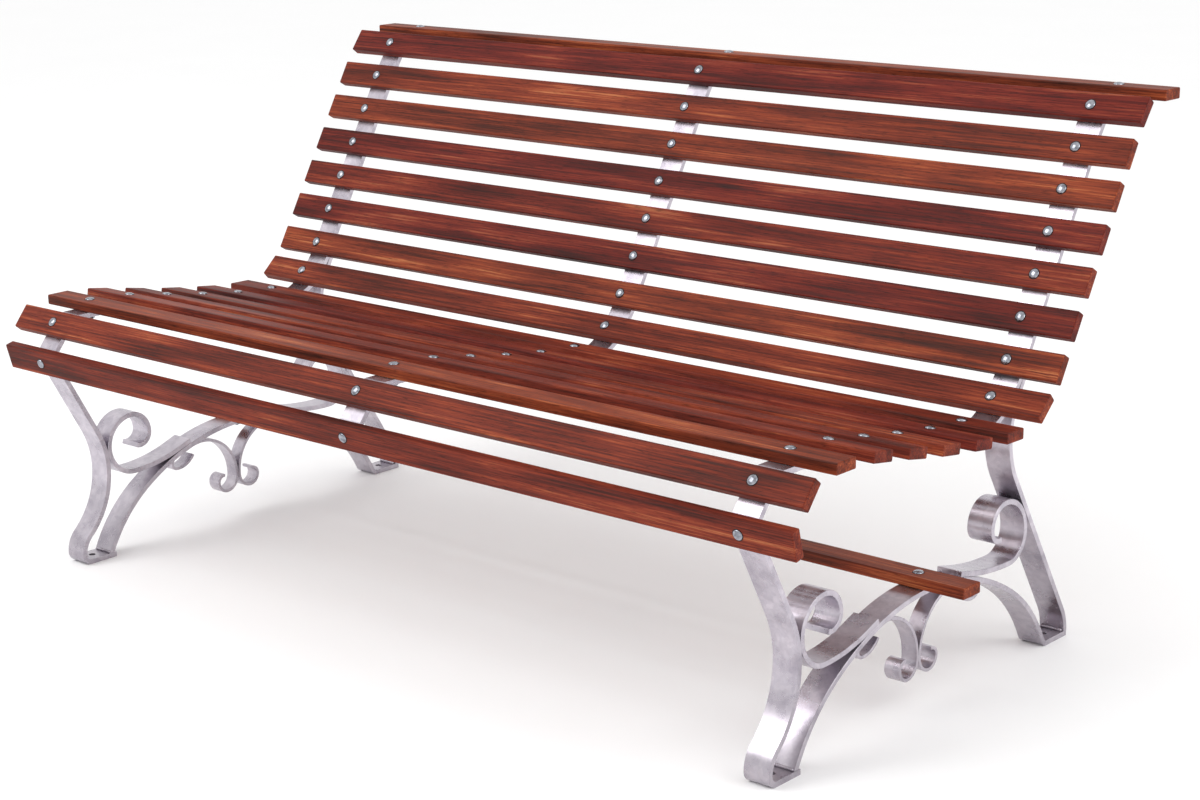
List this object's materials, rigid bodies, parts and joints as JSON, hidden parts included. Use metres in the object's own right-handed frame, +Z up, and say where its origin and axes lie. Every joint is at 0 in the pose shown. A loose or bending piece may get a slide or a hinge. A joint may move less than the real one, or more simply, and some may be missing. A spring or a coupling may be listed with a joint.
{
  "type": "garden bench",
  "caption": "Slatted garden bench: hardwood slats bolted to bent flat-bar steel supports, with arched, scrolled leg frames at both ends, a raked back and a low stretcher.",
  "frame": {"origin": "on the ground, under the middle of the bench's bounding box", "axes": "+X along the bench to the right of a viewer in front of it, +Y from the front to the back, +Z up"},
  "size_m": [1.57, 0.8982, 0.7945],
  "materials": {
    "slats": "oiled hardwood, satin",
    "bars": "satin galvanised flat bar",
    "fasteners": "bright zinc-plated",
    "welds": "galvanised weld bead"
  },
  "bodies": {
    "root": {"front_slat_lower": "slats", "front_slat_upper": "slats", "seat_slat_1": "slats", "seat_slat_2": "slats", "seat_slat_3": "slats", "seat_slat_4": "slats", "seat_slat_5": "slats", "seat_slat_6": "slats", "back_slat_1": "slats", "back_slat_2": "slats", "back_slat_3": "slats", "back_slat_4": "slats", "back_slat_5": "slats", "back_slat_6": "slats", "back_slat_7": "slats", "back_slat_8": "slats", "top_slat": "slats", "stretcher_slat": "slats", "left_main_bar": "bars", "right_main_bar": "bars", "middle_bar": "bars", "left_rear_leg": "bars", "right_rear_leg": "bars", "left_arch": "bars", "right_arch": "bars", "left_front_scroll": "bars", "right_front_scroll": "bars", "left_rear_scroll": "bars", "right_rear_scroll": "bars", "left_front_pendant": "bars", "right_front_pendant": "bars", "left_rear_pendant": "bars", "right_rear_pendant": "bars", "left_bolts": "fasteners", "middle_bolts": "fasteners", "right_bolts": "fasteners", "left_nuts": "fasteners", "middle_nuts": "fasteners", "right_nuts": "fasteners", "left_washers": "fasteners", "middle_washers": "fasteners", "right_washers": "fasteners", "left_welds": "welds", "right_welds": "welds"}
  },
  "joints": []
}
